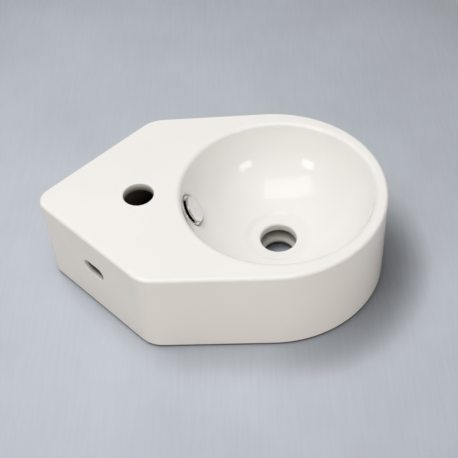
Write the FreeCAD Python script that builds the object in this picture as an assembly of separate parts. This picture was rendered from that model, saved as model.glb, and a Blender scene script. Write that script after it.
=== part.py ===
"""Corner basin for a small cloakroom: one glazed ceramic casting and its push-fit overflow cover.

Millimetres. +Z is up. The origin is under the middle of the basin, on the plane it stands on.
-X points to the corner of the room, where the two wall faces meet at a right angle, and +X to
the round front. The basin is the same on both sides of the XZ plane.

The casting is hollow underneath. Water leaves the bowl by the waste hole, or by the overflow
hole and down a duct behind the bowl into a gallery around the waste hole.
"""
import FreeCAD, Part
import math
import os

from FreeCAD import Vector

# ---- Overall size -------------------------------------------------------------------------
OVERALL_LENGTH = 395.0       # from the rounded room corner to the front
HEIGHT = 115.0
FRONT_RADIUS = 132.5         # the round front, so the basin is twice this wide
SHOULDER_HALF_WIDTH = 130.0  # where each wall face would meet its side
CORNER_RADIUS = 20.0         # upright edge in the corner of the room
SHOULDER_RADIUS = 35.0       # upright edge between a wall face and a side
WALL = 10.0                  # thickness of the outer walls
DECK = 11.0                  # thickness of the flat top
TOP_EDGE_RADIUS = 4.0
FOOT_EDGE_RADIUS = 2.0

# ---- Bowl ---------------------------------------------------------------------------------
BOWL_FORWARD = 8.5           # the bowl's axis lies this far in front of the round front's centre
MOUTH_RADIUS = 116.0         # where the flat top starts to roll into the bowl
RIM_ROLL = 6.0
RIM_LEAN = math.radians(15.0)    # lean of the bowl's side from upright, at the rim
BOWL_WALL = 9.0
RIM_ROOT_LEAN = math.radians(26.0)   # where the bowl's back starts to slope out to the deck

# ---- Waste hole ---------------------------------------------------------------------------
WASTE_RADIUS = 21.5
WASTE_EDGE = 3.0             # rolled edge of the hole
SEAT_RADIUS = 36.0           # nearly flat ring that a waste fitting's flange seats on
SEAT_HEIGHT = 33.0           # of the seat's inner edge, above the foot
SEAT_FALL = 1.0              # the seat drops this much towards the hole
SEAT_STEP_RUN = 2.0
SEAT_STEP_RISE = 2.4         # the bowl's section ends this far above the seat
SEAT_STEP_EASE = 3.0
LIP_THICKNESS = 10.0         # floor between the seat and the gallery
GALLERY_RADIUS = 33.0
GALLERY_HEIGHT = 13.0
OUTLET_RADIUS = 18.0         # lower ring, below the gallery
OUTLET_EDGE = 5.0
OUTLET_LENGTH = 9.0
BOSS_RADIUS = 40.0

# ---- Tap hole and wall slots --------------------------------------------------------------
TAP_RADIUS = 17.5
TAP_EDGE = 1.5
TAP_FROM_CORNER = 121.5      # from where the wall faces would meet
SLOT_LENGTH = 33.0
SLOT_HEIGHT = 17.0
SLOT_EDGE = 1.0
SLOT_FROM_CORNER = 98.5      # along the wall face
SLOT_BELOW_TOP = 48.0

# ---- Overflow hole and duct ---------------------------------------------------------------
OVERFLOW_BELOW_TOP = 30.0
OVERFLOW_RADIUS = 11.5
LAND_RADIUS = 18.9           # flat ring that the cover seats on
LAND_DEPTH = 1.6
LAND_EASE = 1.0              # rounding in the land's inner corner
LAND_FLARE = 1.8             # the land's side opens this much over LAND_SIDE
LAND_SIDE = 4.0
DUCT_SKIN = 8.0              # ceramic between the bowl and the duct
DUCT_DEPTH = 13.0
DUCT_WIDTH = 34.0
DUCT_WALL = 7.0
DUCT_ROUND = 5.0
DUCT_REACH = 6.0             # the duct runs this far into the gallery

# ---- Overflow cover, along its own axis, from the land into the bowl ------------------------
FLANGE_CLEARANCE = 0.6       # between the flange's rim and the land's side
GASKET_INSET = 1.9           # from the flange's rim in to the gasket
GASKET_STANDOFF = 0.7        # from the hole's edge out to the gasket
GASKET_THICKNESS = 0.8
FLANGE_THICKNESS = 1.6
FLANGE_EDGE = 0.8
COLLAR_WALL = 1.0
COLLAR_LENGTH = 9.0          # behind the land
SPIDER_ARM = 2.4
SPIDER_THICKNESS = 2.0
SPIDER_INSET = 3.0           # from the land back to the spider's front
HUB_RADIUS = 3.6
ARM_COUNT = 3
DISC_RADIUS = 16.0
DISC_THICKNESS = 2.6
DISC_EDGE = 1.0
DISC_CROWN = 0.5
DISC_GAP = 2.2               # water gap between the flange and the disc
STEM_RADIUS = 2.6
SCREW_RADIUS = 1.5
SCREW_GRIP = 6.0             # screw length inside the stem
SCREW_CLEARANCE = 0.05
SCREW_HEAD_RADIUS = 2.8
SCREW_HEAD_HEIGHT = 1.8
SCREW_SLOT = 0.7
LEG_WIDTH = 4.4
LEG_THICKNESS = 0.5
LEG_CLEARANCE = 0.15         # between a leg's back and the collar
LEG_HOLE_GAP = 0.25          # between a leg and the hole's wall
LEG_START = 1.0              # behind the land
LEG_TAIL = 4.0               # past the collar's end
LEG_HOOK = 1.6
LEG_HOOK_GAP = 0.1
LEG_COUNT = 3

# ---- Places worked out from the sizes -------------------------------------------------------
CORNER_X = -OVERALL_LENGTH / 2 - CORNER_RADIUS * (math.sqrt(2) - 1)   # wall faces would meet here
FRONT_X = OVERALL_LENGTH / 2 - FRONT_RADIUS
BOWL_X = FRONT_X + BOWL_FORWARD
GALLERY_TOP = SEAT_HEIGHT - LIP_THICKNESS
GALLERY_FLOOR = GALLERY_TOP - GALLERY_HEIGHT
BOSS_BOTTOM = GALLERY_FLOOR - OUTLET_LENGTH

# The bowl's section is one arc. It leaves the rim's roll smoothly and ends on top of the seat's step.
RIM_OUT = MOUTH_RADIUS - RIM_ROLL * math.cos(RIM_LEAN)
RIM_HEIGHT = HEIGHT - RIM_ROLL + RIM_ROLL * math.sin(RIM_LEAN)
ARC_RUN = RIM_OUT - SEAT_RADIUS - SEAT_STEP_RUN
ARC_DROP = RIM_HEIGHT - SEAT_HEIGHT - SEAT_FALL - SEAT_STEP_RISE
BOWL_ARC_RADIUS = (ARC_RUN ** 2 + ARC_DROP ** 2) / (
    2 * (ARC_RUN * math.cos(RIM_LEAN) - ARC_DROP * math.sin(RIM_LEAN))
)
ARC_OUT = RIM_OUT - BOWL_ARC_RADIUS * math.cos(RIM_LEAN)
ARC_HEIGHT = RIM_HEIGHT + BOWL_ARC_RADIUS * math.sin(RIM_LEAN)
OVERFLOW_LEAN = math.asin((ARC_HEIGHT - HEIGHT + OVERFLOW_BELOW_TOP) / BOWL_ARC_RADIUS)
OVERFLOW_AXIS = Vector(math.cos(OVERFLOW_LEAN), 0, math.sin(OVERFLOW_LEAN))
FLANGE_RADIUS = LAND_RADIUS - FLANGE_CLEARANCE
GASKET_OUTER = FLANGE_RADIUS - GASKET_INSET
GASKET_INNER = OVERFLOW_RADIUS + GASKET_STANDOFF
COLLAR_RADIUS = OVERFLOW_RADIUS - LEG_HOLE_GAP - LEG_THICKNESS - LEG_CLEARANCE
FLANGE_FRONT = GASKET_THICKNESS + FLANGE_THICKNESS
DISC_BACK = FLANGE_FRONT + DISC_GAP
SPIDER_BACK = -SPIDER_INSET - SPIDER_THICKNESS
BEYOND = 5.0                 # how far a cutting tool runs past what it cuts


def arc_point(radius, lean):
    """Point of an arc about the bowl section's centre, as (distance from the bowl's axis, height)."""
    return ARC_OUT + radius * math.cos(lean), ARC_HEIGHT - radius * math.sin(lean)


def lean_at(radius, distance):
    """Lean of such an arc where it is a given distance from the bowl's axis."""
    return math.acos((distance - ARC_OUT) / radius)


def line(p, q):
    return Part.LineSegment(p, q).toShape()


def arc(p, middle, q):
    return Part.Arc(p, middle, q).toShape()


def face_of(edges):
    return Part.Face(Part.Wire(Part.__sortEdges__(edges)))


def turned_about_bowl(edges):
    """Turns a closed section, given as (distance, 0, height), about the bowl's upright axis."""
    solid = face_of(edges).revolve(Vector(0, 0, 0), Vector(0, 0, 1), 360)
    solid.translate(Vector(BOWL_X, 0, 0))
    return solid


def outline(inset, low, high):
    """The basin's plan, moved inwards by inset, raised from low to high."""
    front = FRONT_RADIUS - inset
    corner = CORNER_RADIUS - inset if CORNER_RADIUS > inset + 1 else 1.0
    shoulder = SHOULDER_RADIUS - inset
    # Side line: through the sharp shoulder, touching the round front.
    to_front = Vector(FRONT_X - CORNER_X - SHOULDER_HALF_WIDTH, -SHOULDER_HALF_WIDTH, 0)
    flare = math.atan2(to_front.y, to_front.x) + math.asin(FRONT_RADIUS / to_front.Length)
    side_along = Vector(math.cos(flare), math.sin(flare), 0)
    side_out = Vector(-math.sin(flare), math.cos(flare), 0)
    face_along = Vector(1, 1, 0).normalize()
    face_out = Vector(-1, 1, 0).normalize()
    tip = Vector(CORNER_X + inset * math.sqrt(2), 0, 0)
    sharp = Vector(CORNER_X + SHOULDER_HALF_WIDTH, SHOULDER_HALF_WIDTH, 0)
    run = (-inset - (tip - sharp).dot(side_out)) / face_along.dot(side_out)
    meet = tip + face_along * run
    tangent = shoulder * math.tan((math.pi / 4 - flare) / 2)
    middle = Vector(FRONT_X, 0, 0)

    tip_centre = tip + Vector(corner * math.sqrt(2), 0, 0)
    tip_end = tip_centre + face_out * corner
    shoulder_start = meet - face_along * tangent
    shoulder_centre = shoulder_start - face_out * shoulder
    shoulder_end = meet + side_along * tangent
    shoulder_middle = shoulder_centre + (face_out + side_out).normalize() * shoulder
    front_start = middle + side_out * front

    def mirrored(point):
        return Vector(point.x, -point.y, 0)

    edges = [
        arc(mirrored(tip_end), tip_centre - Vector(corner, 0, 0), tip_end),
        line(tip_end, shoulder_start),
        arc(shoulder_start, shoulder_middle, shoulder_end),
        line(shoulder_end, front_start),
        arc(front_start, middle + Vector(front, 0, 0), mirrored(front_start)),
        line(mirrored(front_start), mirrored(shoulder_end)),
        arc(mirrored(shoulder_end), mirrored(shoulder_middle), mirrored(shoulder_start)),
        line(mirrored(shoulder_start), mirrored(tip_end)),
    ]
    plan = face_of(edges)
    plan.translate(Vector(0, 0, low))
    return plan.extrude(Vector(0, 0, high - low))


def edges_at_height(solid, height):
    return [
        e for e in solid.Edges
        if abs(e.BoundBox.ZMin - height) < 1e-4 and abs(e.BoundBox.ZMax - height) < 1e-4
    ]


def outer_block():
    block = outline(0, 0, HEIGHT)
    block = block.makeFillet(TOP_EDGE_RADIUS, edges_at_height(block, HEIGHT))
    return block.makeFillet(FOOT_EDGE_RADIUS, edges_at_height(block, 0))


def bowl_and_waste():
    """The bowl's hollow, the waste hole below it and the gallery round that hole."""
    roll_centre = Vector(MOUTH_RADIUS, 0, HEIGHT - RIM_ROLL)
    deck_edge = Vector(MOUTH_RADIUS, 0, HEIGHT)
    half = (math.pi / 2 - RIM_LEAN) / 2
    roll_middle = roll_centre + Vector(-math.sin(half), 0, math.cos(half)) * RIM_ROLL
    step_top_lean = lean_at(BOWL_ARC_RADIUS, SEAT_RADIUS + SEAT_STEP_RUN)

    def on_bowl(lean):
        out, up = arc_point(BOWL_ARC_RADIUS, lean)
        return Vector(out, 0, up)

    rim = on_bowl(RIM_LEAN)
    step_top = on_bowl(step_top_lean)
    step_foot = Vector(SEAT_RADIUS, 0, SEAT_HEIGHT + SEAT_FALL)
    seat_inner = Vector(WASTE_RADIUS + WASTE_EDGE, 0, SEAT_HEIGHT)
    ease = WASTE_EDGE * math.sqrt(0.5)
    hole_top = Vector(WASTE_RADIUS, 0, SEAT_HEIGHT - WASTE_EDGE)
    hole_middle = Vector(WASTE_RADIUS + WASTE_EDGE - ease, 0, SEAT_HEIGHT - WASTE_EDGE + ease)
    outlet_ease = OUTLET_EDGE * math.sqrt(0.5)
    outlet_top = Vector(OUTLET_RADIUS + OUTLET_EDGE, 0, GALLERY_FLOOR)
    outlet_side = Vector(OUTLET_RADIUS, 0, GALLERY_FLOOR - OUTLET_EDGE)
    outlet_middle = outlet_top + Vector(-outlet_ease, 0, outlet_ease - OUTLET_EDGE)
    below = Vector(OUTLET_RADIUS, 0, -BEYOND)
    above = deck_edge + Vector(0, 0, BEYOND)
    edges = [
        line(Vector(0, 0, above.z), above),
        line(above, deck_edge),
        arc(deck_edge, roll_middle, rim),
        arc(rim, on_bowl((RIM_LEAN + step_top_lean) / 2), step_top),
        line(step_top, step_foot),
        line(step_foot, seat_inner),
        arc(seat_inner, hole_middle, hole_top),
        line(hole_top, Vector(WASTE_RADIUS, 0, GALLERY_TOP)),
        line(Vector(WASTE_RADIUS, 0, GALLERY_TOP), Vector(GALLERY_RADIUS, 0, GALLERY_TOP)),
        line(Vector(GALLERY_RADIUS, 0, GALLERY_TOP), Vector(GALLERY_RADIUS, 0, GALLERY_FLOOR)),
        line(Vector(GALLERY_RADIUS, 0, GALLERY_FLOOR), outlet_top),
        arc(outlet_top, outlet_middle, outlet_side),
        line(outlet_side, below),
        line(below, Vector(0, 0, below.z)),
        line(Vector(0, 0, below.z), Vector(0, 0, above.z)),
    ]
    hollow = turned_about_bowl(edges)
    step = edges_at_height(hollow, step_top.z) + edges_at_height(hollow, step_foot.z)
    return hollow.makeFillet(SEAT_STEP_EASE, step)


def bowl_back():
    """What the bowl's floor, its rim and the waste boss fill, seen from below."""
    back = BOWL_ARC_RADIUS + BOWL_WALL
    root = arc_point(back, RIM_ROOT_LEAN)
    boss_lean = lean_at(back, BOSS_RADIUS)
    boss_top = arc_point(back, boss_lean)
    half_way = arc_point(back, (RIM_ROOT_LEAN + boss_lean) / 2)
    points = [
        Vector(boss_top[0], 0, boss_top[1]),
        Vector(BOSS_RADIUS, 0, BOSS_BOTTOM),
        Vector(0, 0, BOSS_BOTTOM),
        Vector(0, 0, HEIGHT),
        Vector(root[0] + HEIGHT - root[1], 0, HEIGHT),
        Vector(root[0], 0, root[1]),
    ]
    edges = [line(p, q) for p, q in zip(points, points[1:])]
    edges.append(arc(points[-1], Vector(half_way[0], 0, half_way[1]), points[0]))
    return turned_about_bowl(edges)


def duct(inner, outer, width, rounding):
    """Sector between two arcs behind the bowl, on the room-corner side, width wide along Y."""
    start, end = RIM_LEAN, lean_at((inner + outer) / 2, GALLERY_RADIUS - DUCT_REACH)

    def at(radius, lean):
        out, up = arc_point(radius, lean)
        return Vector(BOWL_X - out, -width / 2, up)

    half_way = (start + end) / 2
    edges = [
        arc(at(inner, start), at(inner, half_way), at(inner, end)),
        line(at(inner, end), at(outer, end)),
        arc(at(outer, end), at(outer, half_way), at(outer, start)),
        line(at(outer, start), at(inner, start)),
    ]
    solid = face_of(edges).extrude(Vector(0, width, 0))
    long_edges = [
        e for e in solid.Edges
        if abs(e.BoundBox.YMax - e.BoundBox.YMin) < 1e-6 and e.Curve.TypeId == "Part::GeomCircle"
        and e.Curve.Radius > (inner + outer) / 2
    ]
    return solid.makeFillet(rounding, long_edges)


def duct_passage():
    passage = duct(
        BOWL_ARC_RADIUS + DUCT_SKIN, BOWL_ARC_RADIUS + DUCT_SKIN + DUCT_DEPTH, DUCT_WIDTH, DUCT_ROUND
    )
    roof = HEIGHT - DECK - DUCT_WALL / 2
    keep = Part.makeBox(2 * OVERALL_LENGTH, DUCT_WIDTH, roof, Vector(-OVERALL_LENGTH, -DUCT_WIDTH / 2, 0))
    return passage.common(keep)


def duct_casing():
    casing = duct(
        BOWL_ARC_RADIUS,
        BOWL_ARC_RADIUS + DUCT_SKIN + DUCT_DEPTH + DUCT_WALL,
        DUCT_WIDTH + 2 * DUCT_WALL,
        DUCT_ROUND + DUCT_WALL,
    )
    keep = Part.makeBox(
        2 * OVERALL_LENGTH, 2 * FRONT_RADIUS, HEIGHT - BOSS_BOTTOM,
        Vector(-OVERALL_LENGTH, -FRONT_RADIUS, BOSS_BOTTOM),
    )
    return casing.common(keep)


def underside():
    """The space inside the walls, below the deck, around the bowl's back, the boss and the duct."""
    room = outline(WALL, -BEYOND, HEIGHT - DECK)
    room = room.makeFillet(WALL / 2, edges_at_height(room, HEIGHT - DECK))
    return room.cut([bowl_back(), duct_casing()])


def tap_cutter():
    ease = TAP_EDGE * math.sqrt(0.5)
    low = HEIGHT - DECK - BEYOND
    side_top = Vector(TAP_RADIUS, 0, HEIGHT - TAP_EDGE)
    mouth = Vector(TAP_RADIUS + TAP_EDGE, 0, HEIGHT)
    edges = [
        line(Vector(0, 0, low), Vector(TAP_RADIUS, 0, low)),
        line(Vector(TAP_RADIUS, 0, low), side_top),
        arc(side_top, Vector(TAP_RADIUS + TAP_EDGE - ease, 0, HEIGHT - TAP_EDGE + ease), mouth),
        line(mouth, mouth + Vector(0, 0, BEYOND)),
        line(mouth + Vector(0, 0, BEYOND), Vector(0, 0, HEIGHT + BEYOND)),
        line(Vector(0, 0, HEIGHT + BEYOND), Vector(0, 0, low)),
    ]
    cutter = face_of(edges).revolve(Vector(0, 0, 0), Vector(0, 0, 1), 360)
    cutter.translate(Vector(CORNER_X + TAP_FROM_CORNER, 0, 0))
    return cutter


def rounded_slot(length, height, depth):
    """Level slot about the X axis of its own frame, cut from x = 0 to x = depth."""
    reach = (length - height) / 2
    half = height / 2
    edges = [
        line(Vector(0, -reach, -half), Vector(0, reach, -half)),
        arc(Vector(0, reach, -half), Vector(0, reach + half, 0), Vector(0, reach, half)),
        line(Vector(0, reach, half), Vector(0, -reach, half)),
        arc(Vector(0, -reach, half), Vector(0, -reach - half, 0), Vector(0, -reach, -half)),
    ]
    return face_of(edges).extrude(Vector(depth, 0, 0))


def wall_slot(side):
    """Fixing slot through the wall face on the side of -Y (side = -1) or +Y (side = 1)."""
    wide = rounded_slot(SLOT_LENGTH + 2 * SLOT_EDGE, SLOT_HEIGHT + 2 * SLOT_EDGE, BEYOND)
    wide.translate(Vector(-BEYOND, 0, 0))
    through = rounded_slot(SLOT_LENGTH, SLOT_HEIGHT, WALL + 2 * BEYOND)
    through.translate(Vector(-BEYOND, 0, 0))
    ramp = Part.makeLoft([
        rounded_slot(SLOT_LENGTH + 2 * SLOT_EDGE, SLOT_HEIGHT + 2 * SLOT_EDGE, 1).Faces[-2].OuterWire,
        rounded_slot(SLOT_LENGTH, SLOT_HEIGHT, SLOT_EDGE).Faces[-1].OuterWire,
    ], True, True)
    cutter = through.fuse([wide, ramp])
    cutter.rotate(Vector(0, 0, 0), Vector(0, 0, 1), -45 * side)
    reach = SLOT_FROM_CORNER / math.sqrt(2)
    cutter.translate(Vector(CORNER_X + reach, side * reach, HEIGHT - SLOT_BELOW_TOP))
    return cutter


def along_overflow(solid):
    """Moves a solid made about the Z axis to the overflow: z = 0 at the land, +Z into the bowl."""
    out, up = arc_point(BOWL_ARC_RADIUS, OVERFLOW_LEAN)
    surface = Vector(BOWL_X - out, 0, up)
    solid.rotate(Vector(0, 0, 0), Vector(0, 1, 0), 90 - math.degrees(OVERFLOW_LEAN))
    solid.translate(surface - OVERFLOW_AXIS * LAND_DEPTH)
    return solid


def overflow_cutter():
    reach = DUCT_SKIN + DUCT_DEPTH / 2
    hole = Part.makeCylinder(OVERFLOW_RADIUS, reach + BEYOND, Vector(0, 0, -reach))
    land = Part.makeCone(LAND_RADIUS, LAND_RADIUS + LAND_FLARE, LAND_SIDE)
    land = land.makeFillet(LAND_EASE, edges_at_height(land, 0))
    return along_overflow(hole.fuse(land))


def basin_body():
    body = outer_block()
    body = body.cut(underside())
    body = body.cut(bowl_and_waste())
    body = body.cut(duct_passage())
    body = body.cut(overflow_cutter())
    body = body.cut([tap_cutter(), wall_slot(-1), wall_slot(1)])
    return body.removeSplitter()


def ring(inner, outer, low, high):
    tube = Part.makeCylinder(outer, high - low, Vector(0, 0, low))
    return tube.cut(Part.makeCylinder(inner, high - low, Vector(0, 0, low)))


def overflow_gasket():
    return along_overflow(ring(GASKET_INNER, GASKET_OUTER, 0, GASKET_THICKNESS))


def overflow_ring():
    """Chromed ring: a flange on the bowl, a collar in the hole and a spider that carries the disc."""
    bore = COLLAR_RADIUS - COLLAR_WALL
    flange = Part.makeCylinder(FLANGE_RADIUS, FLANGE_THICKNESS, Vector(0, 0, GASKET_THICKNESS))
    flange = flange.makeFillet(FLANGE_EDGE, edges_at_height(flange, FLANGE_FRONT))
    collar = Part.makeCylinder(COLLAR_RADIUS, COLLAR_LENGTH + FLANGE_FRONT, Vector(0, 0, -COLLAR_LENGTH))
    inside = Part.makeCylinder(bore, COLLAR_LENGTH + FLANGE_FRONT, Vector(0, 0, -COLLAR_LENGTH))
    shell = flange.fuse(collar).cut(inside)
    hub = Part.makeCylinder(HUB_RADIUS, SPIDER_THICKNESS, Vector(0, 0, SPIDER_BACK))
    arms = []
    for k in range(ARM_COUNT):
        arm = Part.makeBox(
            bore + COLLAR_WALL / 2, SPIDER_ARM, SPIDER_THICKNESS, Vector(0, -SPIDER_ARM / 2, SPIDER_BACK)
        )
        arm.rotate(Vector(0, 0, 0), Vector(0, 0, 1), 360.0 * k / ARM_COUNT)
        arms.append(arm)
    whole = shell.fuse([hub] + arms)
    hole = Part.makeCylinder(
        SCREW_RADIUS + SCREW_CLEARANCE, SPIDER_THICKNESS, Vector(0, 0, SPIDER_BACK)
    )
    return along_overflow(whole.cut(hole).removeSplitter())


def overflow_disc():
    """Chromed cover disc with a slightly crowned face, on a stem that stands on the spider's hub."""
    front = DISC_BACK + DISC_THICKNESS
    shoulder = DISC_RADIUS - DISC_EDGE
    crown_radius = (shoulder ** 2 + DISC_CROWN ** 2) / (2 * DISC_CROWN)
    half = shoulder / 2
    crown_half = front + DISC_CROWN - crown_radius + math.sqrt(crown_radius ** 2 - half ** 2)
    ease = DISC_EDGE * math.sqrt(0.5)
    rim = Vector(DISC_RADIUS, 0, front - DISC_EDGE)
    edges = [
        line(Vector(0, 0, -SPIDER_INSET), Vector(STEM_RADIUS, 0, -SPIDER_INSET)),
        line(Vector(STEM_RADIUS, 0, -SPIDER_INSET), Vector(STEM_RADIUS, 0, DISC_BACK)),
        line(Vector(STEM_RADIUS, 0, DISC_BACK), Vector(DISC_RADIUS, 0, DISC_BACK)),
        line(Vector(DISC_RADIUS, 0, DISC_BACK), rim),
        arc(rim, Vector(shoulder + ease, 0, front - DISC_EDGE + ease), Vector(shoulder, 0, front)),
        arc(Vector(shoulder, 0, front), Vector(half, 0, crown_half), Vector(0, 0, front + DISC_CROWN)),
        line(Vector(0, 0, front + DISC_CROWN), Vector(0, 0, -SPIDER_INSET)),
    ]
    disc = face_of(edges).revolve(Vector(0, 0, 0), Vector(0, 0, 1), 360)
    hole = Part.makeCylinder(
        SCREW_RADIUS + SCREW_CLEARANCE, SCREW_GRIP + SCREW_CLEARANCE, Vector(0, 0, -SPIDER_INSET)
    )
    return along_overflow(disc.cut(hole))


def overflow_screw():
    """Screw from behind the spider into the disc's stem."""
    head = Part.makeCylinder(
        SCREW_HEAD_RADIUS, SCREW_HEAD_HEIGHT, Vector(0, 0, SPIDER_BACK - SCREW_HEAD_HEIGHT)
    )
    head = head.makeFillet(
        SCREW_HEAD_HEIGHT / 3, edges_at_height(head, SPIDER_BACK - SCREW_HEAD_HEIGHT)
    )
    shank = Part.makeCylinder(SCREW_RADIUS, SPIDER_THICKNESS + SCREW_GRIP, Vector(0, 0, SPIDER_BACK))
    slot = Part.makeBox(
        2 * SCREW_HEAD_RADIUS, SCREW_SLOT, SCREW_HEAD_HEIGHT / 2,
        Vector(-SCREW_HEAD_RADIUS, -SCREW_SLOT / 2, SPIDER_BACK - SCREW_HEAD_HEIGHT),
    )
    return along_overflow(head.fuse(shank).cut(slot).removeSplitter())


def overflow_leg(index):
    """Spring strip that lies along the collar and hooks round its end."""
    inner = COLLAR_RADIUS + LEG_CLEARANCE
    end = -COLLAR_LENGTH - LEG_TAIL
    strip = ring(inner, inner + LEG_THICKNESS, end, -LEG_START)
    hook_top = -COLLAR_LENGTH - LEG_HOOK_GAP
    hook = ring(
        COLLAR_RADIUS - LEG_HOOK, inner + LEG_THICKNESS / 2, hook_top - LEG_THICKNESS, hook_top
    )
    window = Part.makeBox(
        2 * COLLAR_RADIUS, LEG_WIDTH, COLLAR_LENGTH + LEG_TAIL, Vector(0, -LEG_WIDTH / 2, end)
    )
    leg = strip.fuse(hook).common(window).removeSplitter()
    turn = 360.0 * (index + 0.5) / LEG_COUNT
    leg.rotate(Vector(0, 0, 0), Vector(0, 0, 1), turn)
    return along_overflow(leg)


def main():
    os.makedirs("parts", exist_ok=True)
    pieces = {
        "basin_body": basin_body(),
        "overflow_gasket": overflow_gasket(),
        "overflow_ring": overflow_ring(),
        "overflow_disc": overflow_disc(),
        "overflow_screw": overflow_screw(),
    }
    for k in range(LEG_COUNT):
        pieces["overflow_spring_leg_%d" % (k + 1)] = overflow_leg(k)
    for name, shape in pieces.items():
        shape.exportStep("parts/%s.step" % name)
        print(name, len(shape.Solids), shape.isValid(), round(shape.Volume, 1), shape.BoundBox)


main()
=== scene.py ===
# %% [markdown]
# # A corner basin on a paper sweep
#
# A small glazed basin for the corner of a cloakroom stands on a sheet of pale paper under soft
# studio lamps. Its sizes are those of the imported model, so every piece made here goes exactly
# where its drawing puts it. Lengths are written in millimetres, as in a workshop, and become
# metres only when a mesh is made.

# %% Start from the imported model
import math

import bmesh
import bpy
import numpy as np
from mathutils import Matrix


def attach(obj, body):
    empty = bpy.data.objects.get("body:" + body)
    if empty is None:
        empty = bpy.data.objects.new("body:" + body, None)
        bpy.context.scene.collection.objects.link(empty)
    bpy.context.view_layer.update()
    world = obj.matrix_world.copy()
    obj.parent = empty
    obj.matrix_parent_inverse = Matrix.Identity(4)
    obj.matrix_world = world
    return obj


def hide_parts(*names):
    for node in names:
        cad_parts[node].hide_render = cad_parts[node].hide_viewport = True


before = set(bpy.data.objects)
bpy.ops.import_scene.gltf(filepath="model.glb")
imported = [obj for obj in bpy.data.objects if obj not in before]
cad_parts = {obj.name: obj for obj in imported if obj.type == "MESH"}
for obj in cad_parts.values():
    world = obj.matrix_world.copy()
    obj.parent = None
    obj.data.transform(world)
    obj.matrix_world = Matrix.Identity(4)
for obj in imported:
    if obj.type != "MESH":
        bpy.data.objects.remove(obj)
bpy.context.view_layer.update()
MM = 0.001

# %% [markdown]
# ## The camera
#
# The basin is seen from beside its wall face and well above, turned and tipped by a few degrees.
# A turn, a nod and a tip give the three directions of the view: right, down and into the picture.
# Blender's camera looks along its own -Z with +Y up, so two of the three change sign. The lens
# is long, because the basin's far edges look only slightly shorter than its near ones.

# %% Camera
YAW, PITCH, ROLL = math.radians(-2.87), math.radians(46.94), math.radians(-4.40)
CAMERA_AT = np.array((52.7, -744.8, 849.0))


def view_directions(yaw, pitch, roll):
    """Rows right, down and forward: a turn about the upright, then a nod, then a tip of the frame."""
    turn = np.array((
        (math.cos(yaw), -math.sin(yaw), 0), (math.sin(yaw), math.cos(yaw), 0), (0, 0, 1),
    ))
    nod = np.array((
        (1, 0, 0), (0, -math.sin(pitch), -math.cos(pitch)), (0, math.cos(pitch), -math.sin(pitch)),
    ))
    tip = np.array((
        (math.cos(roll), -math.sin(roll), 0), (math.sin(roll), math.cos(roll), 0), (0, 0, 1),
    ))
    return tip @ nod @ turn


right, down, forward = view_directions(YAW, PITCH, ROLL)
lens = bpy.data.cameras.new("view")
lens.sensor_width = 36.0
lens.lens = 72.75
lens.clip_end = 50.0
camera = bpy.data.objects.new("view", lens)
place = np.eye(4)
place[:3, :] = np.column_stack((right, -down, -forward, CAMERA_AT * MM))
camera.matrix_world = Matrix(place.tolist())
bpy.context.scene.collection.objects.link(camera)
bpy.context.scene.camera = camera
print("camera looks along", np.round(forward, 3))

# %% [markdown]
# ## Surfaces from grids of points
#
# Almost everything here is one sheet of points, rows by columns, with a quad in each cell. The
# sheet can be bent round until its edges meet, across or along, or its open ends can be filled.
# Typing vertices by hand would hide the shape, and a sculpted shape couldn't be checked
# against a drawing. A grid is exact, and its loops run the way a potter's tool would.

# %% Grid meshes
def as_mesh(name, points, around=True, along=False, ends=False):
    """A mesh from points[row, column] in millimetres: one quad per cell of the grid.

    around joins the last column to the first, along the last row to the first, and ends fills
    the first and the last row. Points that fall together are welded, and if the volume that the
    faces enclose comes out negative, every face is turned over.
    """
    rows, columns = points.shape[:2]
    index = np.arange(rows * columns).reshape(rows, columns)
    if around:
        index = np.concatenate((index, index[:, :1]), axis=1)
    if along:
        index = np.concatenate((index, index[:1]), axis=0)
    quads = np.stack((index[:-1, :-1], index[:-1, 1:], index[1:, 1:], index[1:, :-1]), -1)
    faces = quads.reshape(-1, 4).tolist()
    if ends:
        faces += [index[0, :columns][::-1].tolist(), index[-1, :columns].tolist()]
    mesh = bpy.data.meshes.new(name)
    mesh.from_pydata((points.reshape(-1, 3) * MM).tolist(), [], faces)
    return welded(mesh)


def welded(mesh):
    """The same mesh with points closer than 2 micrometres joined and its faces looking outwards."""
    work = bmesh.new()
    work.from_mesh(mesh)
    bmesh.ops.remove_doubles(work, verts=work.verts, dist=0.002 * MM)
    bmesh.ops.dissolve_degenerate(work, edges=work.edges, dist=0.001 * MM)
    if work.calc_volume(signed=True) < 0:
        bmesh.ops.reverse_faces(work, faces=work.faces)
    work.to_mesh(mesh)
    work.free()
    return mesh


def as_object(mesh):
    """A new object in the scene that shows the mesh."""
    piece = bpy.data.objects.new(mesh.name, mesh)
    bpy.context.scene.collection.objects.link(piece)
    return piece


def measured(mesh):
    """Volume in cubic centimetres, and how many edges don't lie between exactly two faces."""
    work = bmesh.new()
    work.from_mesh(mesh)
    volume = work.calc_volume(signed=True) * 1e6
    loose = sum(len(edge.link_faces) != 2 for edge in work.edges)
    work.free()
    return round(volume, 3), loose, len(mesh.polygons)


# %% [markdown]
# ## The plan of the basin
#
# Seen from above, the casting is a round front, two sides that touch it, two rounded shoulders,
# and two wall faces that meet at a right angle in the corner of the room. A spline would only
# come near to that. Here every arc is a centre, a radius and a direction, and every straight run
# is where rays from the bowl's axis cross a line, so the columns fan out evenly round the bowl.
# Moving the plan inwards then only means shorter radii along the same directions.

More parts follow.
